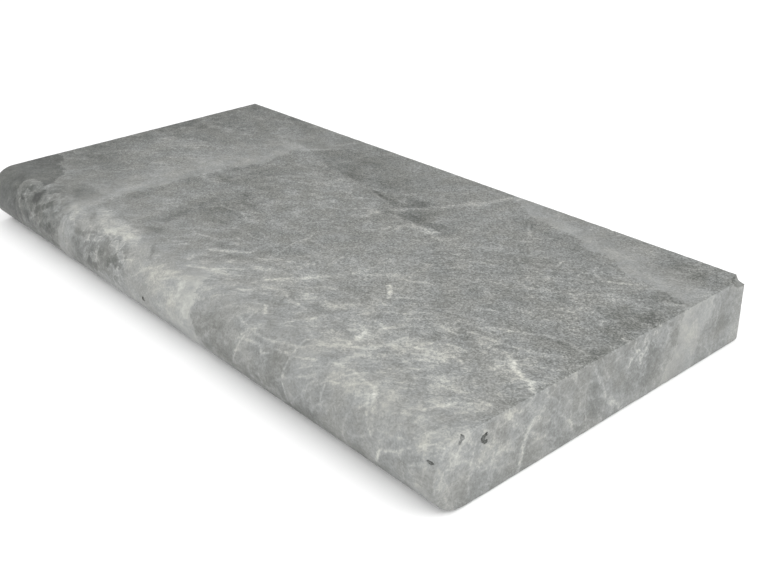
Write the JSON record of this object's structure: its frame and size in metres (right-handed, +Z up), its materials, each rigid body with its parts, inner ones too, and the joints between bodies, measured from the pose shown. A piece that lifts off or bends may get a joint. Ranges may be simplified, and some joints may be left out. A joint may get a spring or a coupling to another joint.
{
  "type": "marble coping slab",
  "caption": "Rectangular grey marble coping slab with a long edge turned to a full bullnose, sawn back and ends, and a lightly textured top; it lies flat on its underside.",
  "frame": {"origin": "middle of the underside", "axes": "+X along the length, +Y from the rounded nose to the sawn back edge, +Z up from the underside to the textured top"},
  "size_m": [0.6096, 0.3048, 0.0508],
  "materials": {
    "marble": "satin"
  },
  "bodies": {
    "root": {"slab": "marble"}
  },
  "joints": []
}
